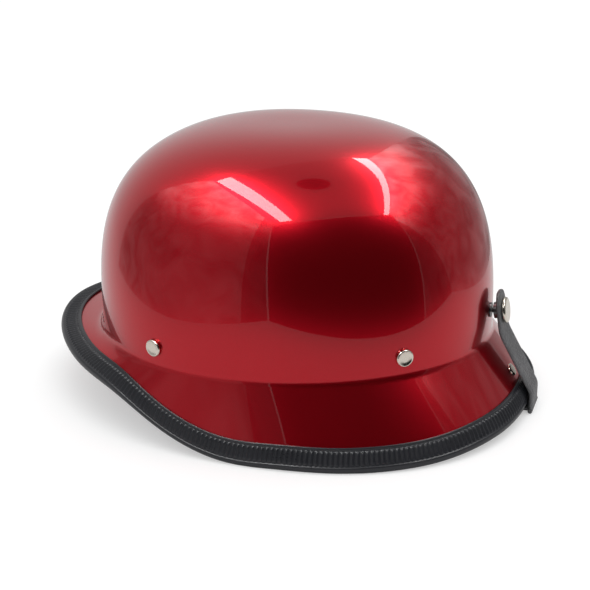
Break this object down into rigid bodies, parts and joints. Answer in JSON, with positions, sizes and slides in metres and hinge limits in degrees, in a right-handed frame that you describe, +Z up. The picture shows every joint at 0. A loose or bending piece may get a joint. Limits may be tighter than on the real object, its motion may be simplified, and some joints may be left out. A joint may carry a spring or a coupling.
{
  "type": "half shell motorcycle helmet",
  "caption": "Open half shell helmet: deep bowl, flared skirt and visor, ribbed edge trim, riveted chin straps with D-rings, snap strap at the back for goggles.",
  "frame": {"origin": "on the table, under the middle of the helmet's box", "axes": "-Y to the front, +X to the wearer's left, +Z up; the helmet stands on its edge trim with the chin straps folded into the bowl"},
  "size_m": [0.2502, 0.3174, 0.1721],
  "materials": {
    "shell_red": "gloss candy red under clear coat",
    "trim_black": "ribbed black rubber",
    "liner_foam": "black foam",
    "pad_cloth": "black brushed cloth over foam",
    "webbing_black": "black woven webbing",
    "nickel": "polished nickel plate",
    "ring_steel": "plated steel",
    "strap_leather": "dark grey pebbled leather",
    "stud_dark": "dark plated steel"
  },
  "bodies": {
    "shell": {"outer_shell": "shell_red", "edge_trim": "trim_black", "impact_liner": "liner_foam", "crown_pad": "pad_cloth", "front_pad": "pad_cloth", "rear_pad": "pad_cloth", "left_pad": "pad_cloth", "right_pad": "pad_cloth", "rivet_washers": "ring_steel", "goggle_snap_stud": "stud_dark", "goggle_strap_anchor": "strap_leather", "goggle_strap_rivet": "nickel", "front_left_rivet": "nickel", "rear_left_rivet": "nickel", "front_right_rivet": "nickel", "rear_right_rivet": "nickel", "front_left_strap_tab": "webbing_black", "rear_left_strap_tab": "webbing_black", "front_right_strap_tab": "webbing_black", "rear_right_strap_tab": "webbing_black"},
    "goggle_band": {"goggle_strap": "strap_leather", "goggle_snap_cap": "nickel", "goggle_snap_socket": "stud_dark"},
    "left_yoke": {"left_chin_yoke": "webbing_black"},
    "right_yoke": {"right_chin_yoke": "webbing_black"},
    "left_tail": {"left_chin_tail": "webbing_black"},
    "right_tail": {"right_chin_tail": "webbing_black", "strap_snap_cap": "nickel"},
    "lower_ring": {"d_ring_lower": "ring_steel"},
    "upper_ring": {"d_ring_upper": "ring_steel"}
  },
  "joints": [
    {"name": "goggle_strap_swing", "type": "hinge", "parent": "shell", "child": "goggle_band", "pos_m": [0, 0.1573, 0.0017], "axis": [-1, 0, 0], "range_deg": [0, 120]},
    {"name": "left_yoke_swing", "type": "hinge", "parent": "shell", "child": "left_yoke", "pos_m": [0.08266, 0.02094, 0.038], "axis": [0.1958, -0.9806, 0], "range_deg": [0, 75]},
    {"name": "right_yoke_swing", "type": "hinge", "parent": "shell", "child": "right_yoke", "pos_m": [-0.08266, 0.02094, 0.038], "axis": [0.1958, 0.9806, 0], "range_deg": [0, 75]},
    {"name": "left_tail_fold", "type": "hinge", "parent": "left_yoke", "child": "left_tail", "pos_m": [0.01418, -0.01721, 0.00248], "axis": [0.1958, -0.9806, 0], "range_deg": [0, 178]},
    {"name": "right_tail_fold", "type": "hinge", "parent": "right_yoke", "child": "right_tail", "pos_m": [-0.00478, 0.02986, 0.00248], "axis": [0.1958, 0.9806, 0], "range_deg": [0, 178]},
    {"name": "upper_ring_swing", "type": "hinge", "parent": "left_tail", "child": "upper_ring", "pos_m": [0.03356, -0.01334, 0.02116], "axis": [0.1958, -0.9806, 0], "range_deg": [0, 90]},
    {"name": "lower_ring_swing", "type": "hinge", "parent": "left_tail", "child": "lower_ring", "pos_m": [0.03882, -0.01229, 0.01935], "axis": [0.1958, -0.9806, 0], "range_deg": [0, 90]}
  ],
  "couplings": [
    {"joint": "lower_ring_swing", "follows": "upper_ring_swing", "ratio": 1}
  ]
}
